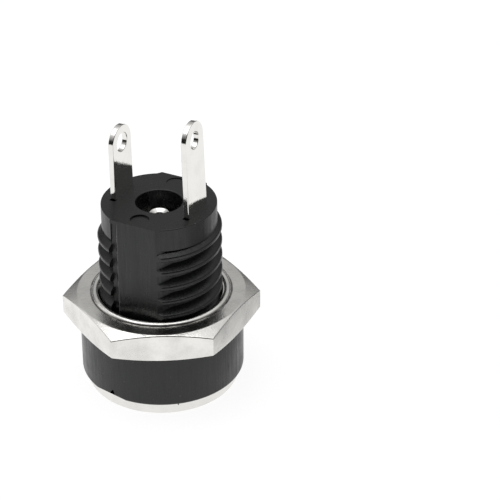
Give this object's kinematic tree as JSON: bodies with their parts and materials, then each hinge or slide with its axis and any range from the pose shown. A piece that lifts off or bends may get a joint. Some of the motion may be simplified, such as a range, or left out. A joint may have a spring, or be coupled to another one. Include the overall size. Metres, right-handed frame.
{
  "type": "dc barrel jack",
  "caption": "Panel-mount barrel power jack: threaded black body with a plated face ring, hexagon nut, centre pin and two solder lugs.",
  "frame": {"origin": "centre of the plug face, on the jack's axis", "axes": "+Z from the plug face to the solder lugs; the lugs' broad faces look along X, the shank's flats along Y"},
  "size_m": [0.0112, 0.0128, 0.0192],
  "materials": {
    "moulding": "satin moulded",
    "ring_plating": "nickel plated, fine turned",
    "nut_plating": "nickel plated, slightly mottled",
    "contact_plating": "nickel plated, rolled strip"
  },
  "bodies": {
    "jack": {"housing": "moulding", "face_ring": "ring_plating", "centre_pin": "contact_plating", "pin_terminal": "contact_plating", "sleeve_contact": "contact_plating"},
    "nut": {"hex_nut": "nut_plating"}
  },
  "joints": [
    {"name": "nut_travel", "type": "slide", "parent": "jack", "child": "nut", "axis": [0, 0, 1], "range_m": [0, 0.0049]}
  ]
}
